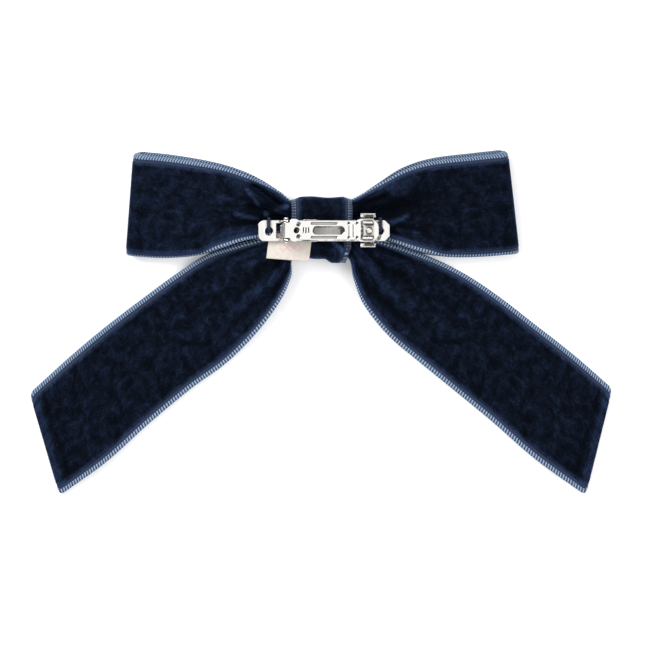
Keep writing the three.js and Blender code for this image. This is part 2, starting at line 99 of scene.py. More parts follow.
def through(points, x):
    """A smooth curve y(x) through points: cubic pieces whose slope at each point is the mean of
    the slopes on its two sides."""
    px, py = np.array(points, float).T
    chord = np.diff(py) / np.diff(px)
    slope = np.concatenate([chord[:1], (chord[1:] + chord[:-1]) / 2, chord[-1:]])
    i = np.clip(np.searchsorted(px, x) - 1, 0, len(px) - 2)
    h = px[i + 1] - px[i]
    t = (x - px[i]) / h
    start = (1 + 2 * t) * (1 - t) ** 2 * py[i] + t * (1 - t) ** 2 * h * slope[i]
    return start + t * t * (3 - 2 * t) * py[i + 1] + t * t * (t - 1) * h * slope[i + 1]


def curve(points, at):
    """The smooth curve through evenly numbered points, at places from 0 to 1 along it."""
    stations = np.linspace(0, 1, len(points))
    return np.stack([through(np.stack([stations, column], -1), at) for column in points.T], -1)


def distances(line):
    """Distance along a line of points, from its start."""
    return np.concatenate([[0], np.cumsum(np.linalg.norm(np.diff(line, axis=0), axis=1))])


def wander(x, y, seed, scale):
    """A gentle random field between about -1 and 1: seven sine waves of nearly one wavelength,
    each in its own direction, from a seeded generator."""
    rng = np.random.default_rng(seed)
    total = np.zeros(np.broadcast(x, y).shape)
    for _ in range(7):
        angle, phase = rng.uniform(0, 2 * math.pi, 2)
        wave = scale * rng.uniform(0.7, 1.5)
        total += np.sin(2 * math.pi * (x * math.cos(angle) + y * math.sin(angle)) / wave + phase)
    return total / 3.2


# ---- meshes --------------------------------------------------------------------------------------
def finish_mesh(name, points, quads, uv, faces_of, materials, painted_light=None):
    """Makes the object from whole arrays: points in mm, corner indices of the quads, one UV pair for each
    point, one material number for each quad, and the painted highlight and shade at each point."""
    mesh = bpy.data.meshes.new(name)
    mesh.vertices.add(len(points))
    mesh.vertices.foreach_set("co", (np.asarray(points) * MM).astype(np.float32).ravel())
    mesh.loops.add(quads.size)
    mesh.loops.foreach_set("vertex_index", quads.ravel().astype(np.int32))
    mesh.polygons.add(len(quads))
    mesh.polygons.foreach_set("loop_start", np.arange(0, quads.size, 4, dtype=np.int32))
    for material in materials:
        mesh.materials.append(material)
    mesh.polygons.foreach_set("material_index", faces_of.astype(np.int32))
    mesh.polygons.foreach_set("use_smooth", np.ones(len(quads), bool))
    layer = mesh.uv_layers.new(name="cloth")
    layer.data.foreach_set("uv", np.asarray(uv, np.float32)[quads.ravel()].ravel())
    # the field of painted highlight and painted shade that the cloth materials read
    if painted_light is not None:
        field = mesh.attributes.new("painted_light_field", "FLOAT", "POINT")
        field.data.foreach_set("value", painted_light.astype(np.float32).ravel())
    mesh.update(calc_edges=True)
    mesh.validate()
    piece = bpy.data.objects.new(name, mesh)
    bpy.context.scene.collection.objects.link(piece)
    return piece


def surface_normals(points):
    """Unit normals of a grid of points: the cross product of its two central differences."""
    along = np.gradient(points, axis=0)
    across = np.gradient(points, axis=1)
    normal = np.cross(along, across)
    return normal / np.maximum(np.linalg.norm(normal, axis=2, keepdims=True), 1e-12)


def shell(name, middle, over, under, uv, side_of_column, materials, painted_light=None):
    """A closed sheet: the middle surface pushed out by `over` on its face and by `under` on its
    back, joined round the rim. side_of_column holds (face, back) material numbers per column."""
    rows, columns, _ = middle.shape
    normal = surface_normals(middle)
    face = middle + normal * over[..., None]
    back = middle - normal * under[..., None]
    points = np.concatenate([face.reshape(-1, 3), back.reshape(-1, 3)])
    both_uv = np.concatenate([uv.reshape(-1, 2)] * 2)
    both_painted_light = None if painted_light is None else np.concatenate([painted_light.ravel()] * 2)
    index = np.arange(rows * columns).reshape(rows, columns)
    a, b = index[:-1, :-1], index[1:, :-1]
    c, d = index[1:, 1:], index[:-1, 1:]
    low = rows * columns
    face_quads = np.stack([a, b, c, d], -1).reshape(-1, 4)
    back_quads = np.stack([a, d, c, b], -1).reshape(-1, 4) + low
    rim = np.concatenate([
        np.stack([index[1:, 0], index[:-1, 0], index[:-1, 0] + low, index[1:, 0] + low], -1),
        np.stack([index[:-1, -1], index[1:, -1], index[1:, -1] + low, index[:-1, -1] + low], -1),
        np.stack([index[0, :-1], index[0, 1:], index[0, 1:] + low, index[0, :-1] + low], -1),
        np.stack([index[-1, 1:], index[-1, :-1], index[-1, :-1] + low, index[-1, 1:] + low], -1),
    ])
    quads = np.concatenate([face_quads, back_quads, rim])
    sides = np.asarray(side_of_column)
    cells = np.tile(np.arange(columns - 1), rows - 1)
    numbers = np.concatenate([
        sides[cells, 0], sides[cells, 1],
        np.full(2 * (rows - 1), sides[0, 0]), np.tile(sides[:, 0], 2),
    ])
    return finish_mesh(name, points, quads, both_uv, numbers, materials, both_painted_light)


# ---- materials -----------------------------------------------------------------------------------
def linear(code):
    """An sRGB hex colour as linear red, green, blue and alpha."""
    parts = [int(code[i : i + 2], 16) / 255 for i in (1, 3, 5)]
    return (*[c / 12.92 if c <= 0.04045 else ((c + 0.055) / 1.055) ** 2.4 for c in parts], 1)


def new_material(name, **settings):
    """A material with only its Principled shader, whose sockets are set by name."""
    material = bpy.data.materials.new(name)
    material.use_nodes = True
    shader = material.node_tree.nodes["Principled BSDF"]
    for socket, value in settings.items():
        shader.inputs[socket.replace("_", " ")].default_value = value
    return material, shader


def node(material, kind, links=None, **settings):
    """Adds a node. settings are its own properties, or unlinked input values under their socket
    name or number; links are the sockets that feed it."""
    made = material.node_tree.nodes.new(kind)
    for key, value in settings.items():
        if hasattr(made, key):
            setattr(made, key, value)
        else:
            made.inputs[int(key[1:]) if key[0] == "_" else key.replace("_", " ")].default_value = value
    for key, source in (links or {}).items():
        material.node_tree.links.new(source, made.inputs[key])
    return made


def maths(material, operation, sources, **values):
    """The result of one maths node, from sockets and from plain values for the other inputs."""
    return node(material, "ShaderNodeMath", sources, operation=operation, **values).outputs[0]


def ramp(material, source, *stops):
    """A colour ramp from (place, colour) stops."""
    made = node(material, "ShaderNodeValToRGB", {"Fac": source})
    elements = made.color_ramp.elements
    while len(elements) < len(stops):
        elements.new(0.5)
    for element, (place, colour) in zip(elements, stops):
        element.position = place
        element.color = colour
    return made.outputs["Color"]


def connect(material, source, shader, socket):
    """Feeds one of the shader's own sockets from a node's output."""
    material.node_tree.links.new(source, shader.inputs[socket])


def velvet_material():
    """Rayon cut pile, midnight navy. Painted highlight makes it lighter and bluer on crests, at the pile's
    edges and over the turned ends, and painted shade makes it nearly black in hollows; the rest drifts a
    little where it has been handled. The sheen puts a blue edge on every slope."""
    material, shader = new_material(
        "cut_pile_velvet",
        Roughness=0.9,
        Specular_IOR_Level=0.02,
        Sheen_Weight=0.42,
        Sheen_Roughness=0.3,
        Sheen_Tint=linear("#6f9be8"),
    )
    place = node(material, "ShaderNodeTexCoord").outputs["UV"]
    millimetres = node(material, "ShaderNodeMapping", {"Vector": place}, Scale=(RIBBON_WIDTH,) * 3)
    uv = millimetres.outputs["Vector"]
    drift = node(
        material, "ShaderNodeTexNoise", {"Vector": uv},
        Scale=0.26, Detail=6.0, Roughness=0.72, Distortion=0.35,
    )
    # real pile is about 0.05 mm across and drawn at 0.4 mm so that it shows
    nap = node(material, "ShaderNodeTexNoise", {"Vector": uv}, Scale=2.4, Detail=3.0, Roughness=0.7)
    # painted highlight and painted shade, from the field that the ribbon pieces carry
    painted_light = node(material, "ShaderNodeAttribute", attribute_name="painted_light_field").outputs["Fac"]
    drifted = maths(material, "MULTIPLY_ADD", {0: drift.outputs["Fac"], 2: painted_light}, _1=0.9)
    mottled = maths(material, "MULTIPLY_ADD", {0: nap.outputs["Fac"], 2: drifted}, _1=0.7)
    # the sum is about 0.8 on flat pile, up to 1 more under painted highlight and as much less under
    # painted shade
    tone_and_painted_light = node(material, "ShaderNodeMapRange", {"Value": mottled}, From_Min=-0.2, From_Max=1.8)
    colour = ramp(
        material, tone_and_painted_light.outputs["Result"],
        (0.30, linear("#030408")), (0.44, linear("#060910")), (0.50, linear("#0c121e")),
        (0.56, linear("#161f32")), (0.66, linear("#25334f")), (0.92, linear("#3a507a")),
    )
    lint = node(material, "ShaderNodeTexVoronoi", {"Vector": uv}, Scale=0.12, Randomness=1.0)
    speck = ramp(material, lint.outputs["Distance"], (0.012, (0.7, 0.7, 0.7, 1)), (0.022, (0, 0, 0, 1)))
    flecked = node(
        material, "ShaderNodeMix", {"Factor": speck, 6: colour},
        data_type="RGBA", _7=linear("#3c4a66"),
    )
    connect(material, flecked.outputs[2], shader, "Base Color")
    crush = node(material, "ShaderNodeTexNoise", {"Vector": uv}, Scale=0.22, Detail=2.0, Distortion=0.8)
    wide = node(
        material, "ShaderNodeBump", {"Height": crush.outputs["Fac"]}, Strength=0.5, Distance=1.2 * MM
    )
    fine = node(
        material, "ShaderNodeBump", {"Height": nap.outputs["Fac"], "Normal": wide.outputs["Normal"]},
        Strength=0.8, Distance=0.3 * MM,
    )
    connect(material, fine.outputs["Normal"], shader, "Normal")
    return material


def rib_material():
    """Woven selvage: satin-bright blue yarns packed across the edge, with a dark line between one rib and
    the next. It is drawn darker with the painted shade in hollows, and on the knot band's selvages."""
    material, shader = new_material(
        "ribbed_selvage", Roughness=0.55, Specular_IOR_Level=0.4, Sheen_Weight=0.2,
        Sheen_Roughness=0.4, Sheen_Tint=linear("#c4cfe2"),
    )
    place = node(material, "ShaderNodeTexCoord").outputs["UV"]
    # one wave of the texture is 1 / (scale * 2 pi / 20) long, so a rib of RIB_PITCH is one wave
    ribs = node(
        material, "ShaderNodeTexWave", {"Vector": place},
        wave_type="BANDS", bands_direction="X", wave_profile="SIN",
        Scale=RIBBON_WIDTH / RIB_PITCH / 20 * 2 * math.pi, Distortion=0.0,
    )
    tone = ramp(
        material, ribs.outputs["Fac"],
        (0.1, linear("#16233a")), (0.5, linear("#46607f")), (0.9, linear("#8ca2bf")),
    )
    painted_light = node(material, "ShaderNodeAttribute", attribute_name="painted_light_field").outputs["Fac"]
    # drawn darker with the painted shade of hollows and on the knot band's selvages
    darkened = maths(material, "MULTIPLY", {0: painted_light}, use_clamp=True, _1=-1.0)
    dimmed = node(
        material, "ShaderNodeMix", {"Factor": darkened, 6: tone},
        data_type="RGBA", _7=linear("#101a30"),
    )
    connect(material, dimmed.outputs[2], shader, "Base Color")
    return material


def backing_material():
    """Ground weave behind the pile: flat navy rayon with a faint cross rib."""
    material, shader = new_material(
        "woven_backing", Roughness=0.6, Specular_IOR_Level=0.3, Sheen_Weight=0.15,
        Sheen_Tint=linear("#8aa5d8"),
    )
    place = node(material, "ShaderNodeTexCoord").outputs["UV"]
    weave = node(
        material, "ShaderNodeTexWave", {"Vector": place},
        wave_type="BANDS", bands_direction="X", wave_profile="SIN", Scale=40.0, Distortion=0.4,
    )
    tone = ramp(material, weave.outputs["Fac"], (0.1, linear("#121c30")), (0.9, linear("#1c2b48")))
    connect(material, tone, shader, "Base Color")
    bump = node(
        material, "ShaderNodeBump", {"Height": weave.outputs["Fac"]}, Strength=0.3, Distance=0.05 * MM
    )
    connect(material, bump.outputs["Normal"], shader, "Normal")
    return material


def strip_material():
    """Ground weave that shows between the pile and the selvage, a shade bluer than the pile."""
    material, shader = new_material(
        "bare_ground_strip", Roughness=0.6, Specular_IOR_Level=0.3, Sheen_Weight=0.2,
        Sheen_Tint=linear("#8aa5d8"),
    )
    place = node(material, "ShaderNodeTexCoord").outputs["UV"]
    grain = node(material, "ShaderNodeTexNoise", {"Vector": place}, Scale=60.0, Detail=2.0)
    tone = ramp(material, grain.outputs["Fac"], (0.3, linear("#0b1830")), (0.7, linear("#16294a")))
    connect(material, tone, shader, "Base Color")
    return material


VELVET = velvet_material()
RIBS = rib_material()
BACKING = backing_material()
STRIP = strip_material()
RIBBON_MATERIALS = [VELVET, STRIP, RIBS, BACKING]


# ---- ribbon sections -----------------------------------------------------------------------------
def ribbon_columns(width):
    """Places across a ribbon in mm: five cells on each selvage, two on each bare strip, and the
    pile between them in cells of about 1.1 mm, with one narrow cell where it begins."""
    pile_start = SELVAGE + BARE_STRIP
    strip = [SELVAGE + BARE_STRIP / 2, pile_start, pile_start + PILE_EDGE_CELL]
    half = np.concatenate([np.linspace(0, SELVAGE, 6), strip])
    cells = int((width - 2 * half[-1]) / PILE_CELL)
    pile = np.linspace(half[-1], width - half[-1], cells + 1)[1:-1]
    return np.concatenate([half, pile, width - half[::-1]])


def ribbon_sides(across):
    """Numbers in RIBBON_MATERIALS (face, back) for each cell across the ribbon."""
    velvet, strip, ribs, backing = range(4)
    middle = (across[1:] + across[:-1]) / 2
    near = np.minimum(middle, across[-1] - middle)
    face = np.where(near < SELVAGE, ribs, np.where(near < SELVAGE + BARE_STRIP, strip, velvet))
    back = np.where(near < SELVAGE, ribs, backing)
    return np.stack([face, back], -1)


def ribbon_thickness(across, length):
    """Face and back offsets: pile height in the middle, ground weave on the strips, and on each
    selvage a rounded cord whose top rises and falls by one rib for each pitch."""
    from_edge = np.minimum(across, across[-1] - across)
    pile = smooth(from_edge, SELVAGE + BARE_STRIP - 0.05, SELVAGE + BARE_STRIP + 0.4)
    cord = np.clip(1 - ((from_edge - SELVAGE / 2) / (SELVAGE / 2)) ** 2, 0, 1)
    ribs = -RIB_DEPTH / 2 * np.cos(2 * math.pi * length[:, None] / RIB_PITCH) * np.sqrt(cord)
    face = GROUND + (PILE - GROUND) * pile + CORD_RISE * cord + ribs
    back = GROUND + CORD_RISE * cord + ribs
    return face, back


def ribbon_piece(name, middle, across, pile_inwards, painted_light):
    """Puts a ribbon's thickness on its middle surface. The pile goes on the side that the grid's normal
    points to, or on the other side if pile_inwards. The UV is the length along the ribbon and the place
    across it, both in widths of the 38 mm ribbon. Where the pile begins beside the bare strips a painted
    highlight runs along it, as a narrow bell across the ribbon."""
    length = distances(middle[:, len(across) // 2])
    face, back = ribbon_thickness(across, length)
    sides = ribbon_sides(across)
    if pile_inwards:
        face, back, sides = back, face, sides[:, ::-1]
    uv = np.stack(np.broadcast_arrays(length[:, None], across[None, :]), -1) / RIBBON_WIDTH
    from_edge = np.minimum(across, across[-1] - across)[None, :]
    past_strip = from_edge - SELVAGE - BARE_STRIP
    # painted highlight along the pile's edge beside each bare strip
    tone_and_painted_light = EDGE_HIGHLIGHT * np.exp(-(((past_strip - EDGE_CREST) / EDGE_SPREAD) ** 2))
    piece = shell(name, middle, face, back, uv, sides, RIBBON_MATERIALS, np.clip(painted_light + tone_and_painted_light, -1, 1))
    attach(piece, "bow")
    return piece


def row_count(length):
    """Rows along a ribbon, a few to each rib of its selvage."""
    return int(length / RIB_PITCH * ROWS_PER_RIB)


def gathers(out, v, ridges):
    """Sum of ridges that leave the knot, at `out` mm past its edge. A ridge has its place across
    the ribbon at the knot and at its far end, a width, a height, and the distance where it dies
    out. It is a bell across the ribbon; along it, it swells past the knot and eases to nothing."""
    total = np.zeros(np.broadcast(out, v).shape)
    for near, far, width, height, reach in ridges:
        run = np.clip(out / reach, 0, 1)
        swell = smooth(out, -3, 4) * (1 - smooth(out, 0.3 * reach, reach))
        total += height * swell * np.exp(-(((v - mix(near, far, run)) / (width * (1 + 0.6 * run))) ** 2))
    return total


def folds(x, y, lines):
    """Sum of single folds, each from one place to another in plan with a half width and a height
    in mm: a bell across its line that fades out past both ends. A hollow has a negative height."""
    total = np.zeros(np.broadcast(x, y).shape)
    for x0, y0, x1, y1, width, height in lines:
        length = math.hypot(x1 - x0, y1 - y0)
        along = ((x - x0) * (x1 - x0) + (y - y0) * (y1 - y0)) / length
        aside = ((y - y0) * (x1 - x0) - (x - x0) * (y1 - y0)) / length
        fade = smooth(along, -1.5 * width, width) * smooth(length - along, -1.5 * width, width)
        total += height * fade * np.exp(-((aside / width) ** 2))
    return total


def settle(crease, room):
    """Keeps creases that go down from passing the layer below: a crease of -c over a space of
    `room` becomes -room * (1 - e^(-c / room))."""
    space = np.maximum(room, 0.05)
    return np.where(crease < 0, -space * (1 - np.exp(np.minimum(crease, 0) / space)), crease)


ACROSS = ribbon_columns(RIBBON_WIDTH)
KNOT_EDGE = KNOT_HIGH[0]


# ---- loops ---------------------------------------------------------------------------------------
# A loop is drawn as if it pointed right; sign turns it to its own side. "upper" and "lower" are
# points (out from the middle, y) on its two selvages, and "end" is where the fold stands at the
# upper and the lower one. Ridges go to gathers() and folds, which have their own sign, to folds().
LOOPS = {
    "left": {
        "sign": -1,
        "end": (72.6, 75.6),
        "upper": [
            (0, 9.2), (12, 10.9), (16.1, 14.3), (25.4, 20.2), (34.7, 24), (44, 26.4), (62.6, 29.3),
            (76, 30.2),
        ],
        "lower": [
            (0, -5), (12, -1.5), (24.4, -3.7), (31.3, -5.2), (37.5, -7.3), (46, -9.8), (60, -11.1),
            (76, -10.2),
        ],
        "front_drop": 0.8,  # the front layer's lower selvage shows this far below the back one's
        "roll": 1.0,  # how far the lower selvage is rolled under past the gathers
        "ridges": [
            (0.20, 0.33, 0.07, -1.3, 34), (0.10, 0.18, 0.06, 1.1, 36), (0.93, 0.92, 0.07, 1.0, 30),
            (0.42, 0.62, 0.10, -0.9, 36), (0.72, 0.80, 0.05, 0.8, 26),
        ],
        "folds": [
            (-20.9, 4.6, -29.0, 15.0, 0.45, 1.4), (-15.5, 9.2, -26.6, 17.2, 1.8, -3.4),
            (-13.0, 8.4, -21.5, 5.4, 0.9, 1.6), (-24.2, 3.3, -33.6, 5.5, 0.8, 1.5),
            (-14.0, 4.6, -27.0, 8.6, 1.1, -1.6), (-13.0, 1.5, -24.0, 0.6, 0.9, -1.2),
            (-29.5, 9.0, -41.0, 12.5, 1.4, 0.8),
        ],
        "nap": 0.0,  # shifts the tone of the whole piece: lighter above 0, darker below
        "seed": 3,
    },
    "right": {
        "sign": 1,
        "end": (72.0, 76.5),
        "upper": [
            (0, 9.2), (12, 11.3), (21.1, 17.1), (30.4, 23.2), (39.7, 26.7), (58.3, 29.4), (76.5, 31.2),
        ],
        "lower": [
            (0, -5), (12, -1.7), (25, -4.7), (29.6, -6.2), (38.8, -9.2), (46.7, -10.7), (60, -10.9),
            (76.5, -9.6),
        ],
        "front_drop": 0.5,
        "roll": 0.7,
        "ridges": [
            (0.45, 0.66, 0.12, -1.8, 38), (0.75, 0.80, 0.07, 1.1, 34), (0.12, 0.28, 0.06, -1.0, 38),
            (0.05, 0.12, 0.06, 0.9, 36), (0.62, 0.70, 0.05, 0.9, 33), (0.93, 0.93, 0.06, 0.8, 28),
        ],
        "folds": [
            (13.5, 3.6, 22.5, 1.8, 0.9, 1.2), (22.5, 1.7, 27.6, 1.9, 0.8, 1.5),
            (27.6, 1.9, 33.6, 4.9, 0.8, 1.5), (28.6, -0.4, 37.7, -2.3, 0.8, 1.0),
            (14.0, 8.5, 26.0, 13.0, 1.6, -2.2), (14.0, 6.4, 27.0, 7.4, 1.0, -1.5),
            (16.0, -0.4, 28.0, -1.6, 0.8, -1.0),
        ],
        "nap": -0.04,
        "seed": 8,
    },
}
SELVAGE_OFFSET = 1.5  # the front layer's upper selvage stands this far above the back one's
LAYER_START = 0.45  # a loop begins this far from the middle of the knot
LOOP_BACK_Z = 9.3  # the back layer at its highest, and where it turns into the end fold
LOOP_END_Z = 7.6
FRONT_Z = 0.62  # the front layer where it lies on the table
FRONT_KNOT_Z = 2.7  # the two layers in the knot; the back one is higher towards its upper edge
BACK_KNOT_Z = 4.1
BACK_KNOT_RISE = 2.6
LOOP_CORNER = 1.9  # radius of the corners at the end fold
FRONT_DROP_AT = 34.5  # where the front layer's lower selvage shows most, and how wide that is
FRONT_DROP_SPREAD = 8
GATHER_NARROWS = 0.6  # share of the gathering that also narrows the lower edge
ROLL_SPAN = (38, 48)  # the roll begins and is full this far from the middle
ROLL_REACH = 3.2  # width of the edge that rolls under
ROLL_TURN = 1.75  # radians it turns through when it is fully rolled
DEEPEST, HIGHEST = -2.4, 1.8  # creases past these add no more painted highlight or shade
LOOP_PAINTED_LIGHT = 0.22  # painted highlight or shade for each mm of crease
LOOP_EASE = 0.4  # height of the gentle wander
FRONT_CREASE = 0.35  # share of a ridge that the front layer shows


def corner_trim(from_edge, radius):
    """How far a rounded corner stands back at a distance from the edge."""
    reach = np.clip(radius - from_edge, 0, radius)
    return radius - np.sqrt(radius**2 - reach**2)


def rolled_edge(roll):
    """The lower edge of a ribbon turned under along an arc: how far the arc's start stands in from
    the outline, and for each column the place y past the outline and the drop in height. roll is
    0 for a flat edge and 1 for a turn of ROLL_TURN."""
    turn = ROLL_TURN * np.maximum(roll, 1e-3)
    radius = ROLL_REACH / turn
    angle = np.clip(ROLL_REACH - ACROSS, 0, None)[None, :] / radius
    furthest = radius * np.sin(np.minimum(turn, math.pi / 2))
    return furthest, furthest - radius * np.sin(angle), radius * (1 - np.cos(angle))


def loop_middle(shape):
    """Middle surface of a loop: out along the front, a half circle round the end fold, and back.
    Across the ribbon it is the straight line between the two selvages at that distance, with the lower
    edge of the back layer rolled under. Each layer eases from its height in the knot to its own height
    outside, and the back one carries the gathers, the folds and a gentle wander. Painted highlight on the
    back layer's crests and painted shade in its hollows follow the height of the creases."""
    radius = (LOOP_END_Z - FRONT_Z) / 2
    leg = np.mean(shape["end"]) - radius
    total = 2 * leg + math.pi * radius
    v = (ACROSS / RIBBON_WIDTH)[None, :]  # across the ribbon, from the lower selvage to the upper
    p = np.linspace(0, total, row_count(total))[:, None]  # along it
    fold_x = mix(shape["end"][1], shape["end"][0], v) - radius
    fold_x = fold_x - corner_trim(np.minimum(ACROSS, RIBBON_WIDTH - ACROSS), LOOP_CORNER)[None, :]
    turn = np.clip((p - leg) / radius, 0, math.pi)
    on_front = p < leg
    on_back = p > leg + math.pi * radius
    share = np.clip(np.where(on_back, (total - p) / leg, p / leg), 0, 1)
    straight = on_front | on_back
    a = np.where(straight, mix(LAYER_START, fold_x, share), fold_x + radius * np.sin(turn))
    raised = np.where(on_front, 1, np.where(on_back, 0, 0.5 + 0.5 * np.cos(turn)))
    low, high = through(shape["lower"], a), through(shape["upper"], a)
    low = low - shape["front_drop"] * raised * np.exp(-(((a - FRONT_DROP_AT) / FRONT_DROP_SPREAD) ** 2))
    inset, past, drop = rolled_edge(shape["roll"] * smooth(a, *ROLL_SPAN) * (1 - raised))
    flat_share = np.clip((ACROSS - ROLL_REACH) / (RIBBON_WIDTH - ROLL_REACH), 0, 1)[None, :]
    packed = mix(1, np.clip((high - low) / RIBBON_WIDTH, 0, 1), GATHER_NARROWS)
    flat = mix(low + inset * packed, high, flat_share)
    y = np.where(ACROSS[None, :] < ROLL_REACH, low + past * packed, flat)
    y = y - (1 - raised) * SELVAGE_OFFSET * smooth(a, 12, 30) * v
    out = a - KNOT_EDGE
    front = mix(FRONT_KNOT_Z, FRONT_Z, smooth(a, 11, 30))
    back = mix(BACK_KNOT_Z + BACK_KNOT_RISE * smooth(y, 2.5, 6.5), LOOP_BACK_Z, smooth(a, 11.5, 30))
    back = mix(back, LOOP_END_Z, smooth(a, 40, 66))
    relief = gathers(out, v, shape["ridges"]) + folds(shape["sign"] * a, y, shape["folds"])
    crease = settle(relief, back - front - 1.0)
    ease = LOOP_EASE * wander(a, y, shape["seed"], 26) * smooth(a, 20, 40)
    front_crease = FRONT_CREASE * np.maximum(gathers(out, v, shape["ridges"]), 0) * smooth(front, 0.7, 2.6)
    # painted highlight on the back layer's crests and painted shade in its hollows, over the piece's tone
    # shift
    painted_light = shape["nap"] + np.where(on_back, LOOP_PAINTED_LIGHT * np.clip(relief, DEEPEST, HIGHEST), 0)
    folded = FRONT_Z + radius * (1 - np.cos(turn))
    z = np.where(on_front, front + front_crease, back + crease + ease)
    z = np.where(straight, z, folded + ease * (1 - raised)) - drop * (1 - raised)
    return np.stack([shape["sign"] * a, y, z], -1), painted_light


def make_loop(side):
    """One loop, with its pile outwards."""
    shape = LOOPS[side]
    middle, painted_light = loop_middle(shape)
    piece = ribbon_piece(f"{side}_loop_ribbon", middle, ACROSS, shape["sign"] > 0, painted_light)
    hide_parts(f"{side}_loop")


# ---- tails ---------------------------------------------------------------------------------------
# Drawn to the right like the loops. Each point of "upper" is matched with the one of "lower".
TAILS = {
    "left": {
        "sign": -1,
        "upper": [
            (0.4, 2), (11.5, -2.0), (23, -4.5), (35, -7.4), (46, -11.0),
            (57, -18), (70, -27.5), (84, -38.2), (98, -50), (113.2, -63.8),
        ],
        "lower": [
            (0.4, -9.8), (10.7, -11.5), (11.7, -18.6), (16.1, -28.3), (25.4, -40.7),
            (37, -52.2), (51, -62.4), (67, -75.7), (83.8, -90.8), (101.5, -103.5),
        ],
        "ridges": [
            (0.28, 0.36, 0.06, 1.1, 48), (0.48, 0.52, 0.08, -0.9, 42), (0.62, 0.66, 0.06, 0.8, 46),
            (0.12, 0.17, 0.05, -0.8, 36), (0.80, 0.80, 0.06, 0.7, 34), (0.93, 0.93, 0.05, -0.6, 30),
        ],
        "folds": [(-12.5, -5.0, -20.0, -11.0, 0.9, 1.0), (-12.5, -8.0, -17.5, -16.0, 0.9, -1.0)],
        "nap": -0.03,
        "seed": 21,
    },
    "right": {
        "sign": 1,
        "upper": [
            (0.4, 2), (11.5, -2.2), (23, -5.3), (35, -8.9), (46.7, -13.1),
            (58, -18.9), (70.5, -27.5), (84, -38), (98, -49), (112.8, -61.9),
        ],
        "lower": [
            (0.4, -9.8), (10.2, -11.4), (12.4, -19.4), (16.5, -29.6), (25.8, -41.3),
            (37, -50.9), (51, -62.3), (66.3, -74.9), (83.2, -89.6), (102.5, -103.5),
        ],
        "ridges": [
            (0.38, 0.44, 0.06, 1.1, 50), (0.20, 0.24, 0.06, -1.0, 44), (0.08, 0.10, 0.05, 0.7, 46),
            (0.58, 0.62, 0.08, -0.9, 42), (0.74, 0.74, 0.06, 0.8, 38), (0.90, 0.90, 0.06, -0.6, 32),
        ],
        "folds": [
            (12.4, -6.6, 15.6, -9.7, 0.8, 1.5), (15.4, -9.5, 21.5, -16.5, 1.8, 1.2),
            (12.4, -4.4, 19.0, -9.0, 0.9, -1.2),
        ],
        "nap": -0.04,
        "seed": 34,
    },
}
SEAM_INSET = 5.0  # the turned end's allowance stops this far in and leaves a crease
SEAM_DEPTH = 0.22
FRONT_PLY_SHOWS = 0.8  # near the knot the front ply's upper selvage stands out past the back one's
TURN_R = 1.1  # the two plies meet at the turned end in a soft roll
TAIL_PAINTED_LIGHT = 0.12  # painted highlight or shade for each mm of crease
TAIL_EASE = 0.45  # height of the gentle wander
TAIL_CORNERS = (1.8, 2.0)  # radii at the turned end, lower and upper
TAIL_SETTLES = 48  # a ply is down on the table this far from the knot
PLY_HEIGHTS = {"front": (5.5, 0.55), "back": (6.9, 1.6)}  # in the knot and on the table
CURVE_STEPS = 600


def tail_middle(shape, heights, upwards):
    """Middle surface of one ply: the straight lines between matched points of the two selvages.
    It leaves the knot at its own height and eases down to the table, with the same gathers on both plies.
    At the turned end the corners are rounded and a crease marks the allowance. Painted highlight on crests
    and painted shade in hollows follow the creases; a band of painted highlight lies over the turn, and a
    line of painted shade in the allowance's crease."""
    knot_z, table_z = heights
    upper, lower = (np.array(shape[k], float) for k in ("upper", "lower"))
    fine = np.linspace(0, 1, CURVE_STEPS)
    line = curve((upper + lower) / 2, fine)
    run = distances(line)
    distance = np.linspace(0, run[-1], row_count(run[-1]))
    u = np.interp(distance, run, fine)
    to_end = (run[-1] - distance)[:, None]
    out = (distance - np.interp(KNOT_EDGE, line[:, 0], run))[:, None]
    v = (ACROSS / RIBBON_WIDTH)[None, :]
    trim_low, trim_high = (corner_trim(to_end, radius) / RIBBON_WIDTH for radius in TAIL_CORNERS)
    v = v + (1 - v) * trim_low - v * trim_high
    low_edge, high_edge = curve(lower, u)[:, None, :], curve(upper, u)[:, None, :]
    if not upwards:
        high_edge[..., 1] += FRONT_PLY_SHOWS * np.exp(-(((high_edge[..., 0] - 31) / 13) ** 2))
    plan = low_edge + (high_edge - low_edge) * v[..., None]
    z = mix(knot_z, table_z, smooth(out, 0, TAIL_SETTLES))
    relief = gathers(out, v, shape["ridges"])
    relief = relief + folds(shape["sign"] * plan[..., 0], plan[..., 1], shape["folds"])
    crease = settle(relief, z - table_z)
    lie = TAIL_EASE * (1 + wander(plan[..., 0], plan[..., 1], shape["seed"], 34)) * smooth(out, 20, 45)
    lie = lie * (1 - 0.6 * smooth(to_end, 18, 0))
    allowance = SEAM_DEPTH * np.exp(-(((to_end - SEAM_INSET) / 0.5) ** 2))
    closing = TURN_R / 2 * (1 - np.sqrt(1 - np.clip(1 - to_end / (2 * TURN_R), 0, 1) ** 2))
    z = z + crease + lie + (allowance + closing) * (-1 if upwards else 1)
    # painted highlight on crests and painted shade in hollows, a band of painted highlight over the turn
    # and a line of painted shade in the allowance's crease
    painted_light = TAIL_PAINTED_LIGHT * np.clip(relief, DEEPEST, HIGHEST) + shape["nap"]
    painted_light = painted_light + 0.2 * (1 - smooth(to_end, 1.6, 4.2)) - 0.08 * np.exp(-(((to_end - 5.6) / 1.2) ** 2))
    return np.stack([shape["sign"] * plan[..., 0], plan[..., 1], z], -1), painted_light


